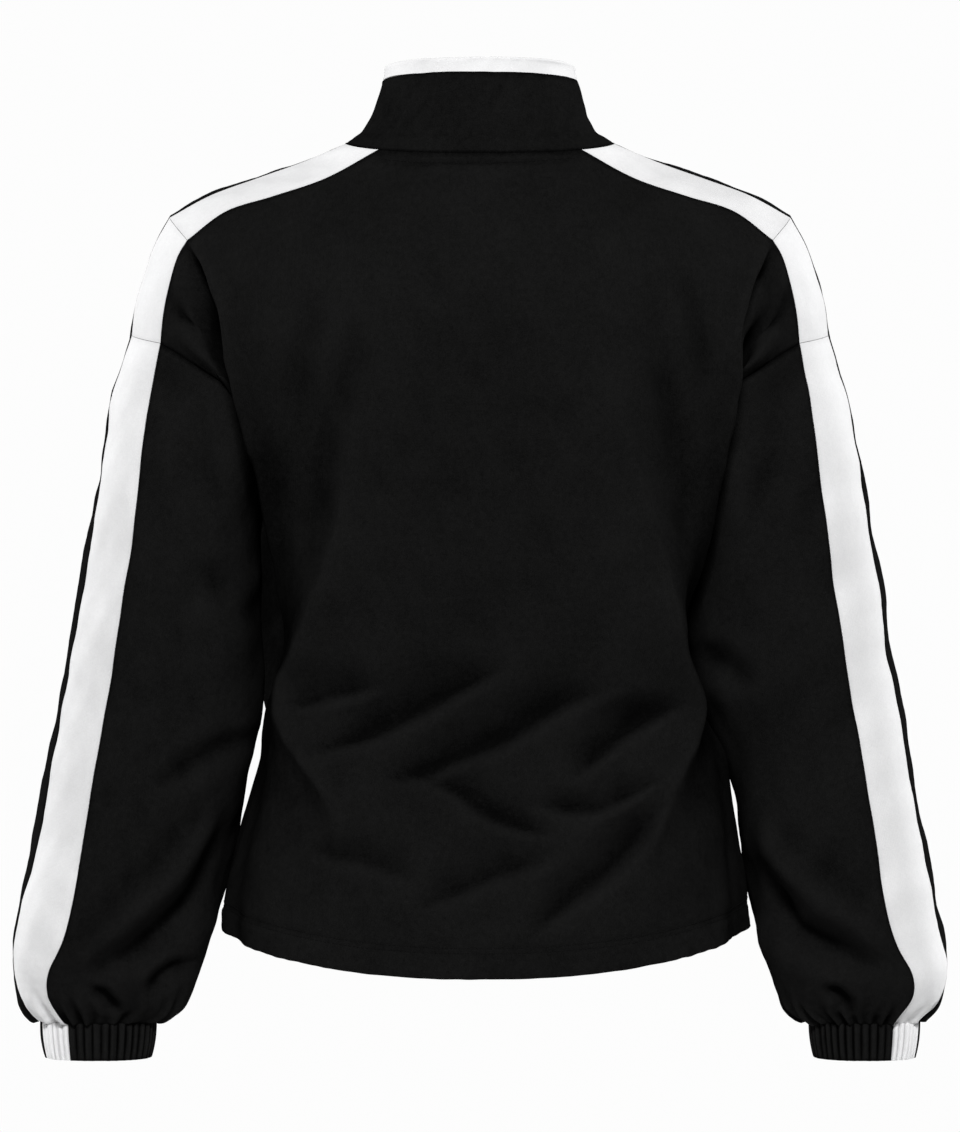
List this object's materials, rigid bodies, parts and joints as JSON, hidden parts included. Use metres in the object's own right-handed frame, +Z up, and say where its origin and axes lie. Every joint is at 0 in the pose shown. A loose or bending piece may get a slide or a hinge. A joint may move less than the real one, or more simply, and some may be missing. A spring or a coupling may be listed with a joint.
{
  "type": "sweatshirt",
  "caption": "Boxy pullover sweatshirt with a funnel collar, bloused sleeves, ribbed cuffs, a straight hem and a contrast stripe from neck to cuff, in its worn form.",
  "frame": {"origin": "middle of the neck base, level with the neck seam at the shoulders, where the wearer holds the garment up", "axes": "+Z up, -Y the garment's back, +Y its front, +X the wearer's right hand side"},
  "size_m": [0.6929, 0.2432, 0.7326],
  "materials": {
    "black_knit": "matt black knit with a faint grain",
    "white_knit": "matt white knit"
  },
  "bodies": {
    "root": {"back": "black_knit", "collar": "black_knit", "collar_band": "white_knit", "cuff_black_l": "black_knit", "cuff_black_r": "black_knit", "cuff_white_l": "white_knit", "cuff_white_r": "white_knit", "front": "black_knit", "shoulder_stripe_l": "white_knit", "shoulder_stripe_r": "white_knit", "sleeve_back_l": "black_knit", "sleeve_back_r": "black_knit", "sleeve_front_l": "black_knit", "sleeve_front_r": "black_knit", "sleeve_stripe_l": "white_knit", "sleeve_stripe_r": "white_knit", "upper_arm_stripe_l": "white_knit", "upper_arm_stripe_r": "white_knit"}
  },
  "joints": []
}
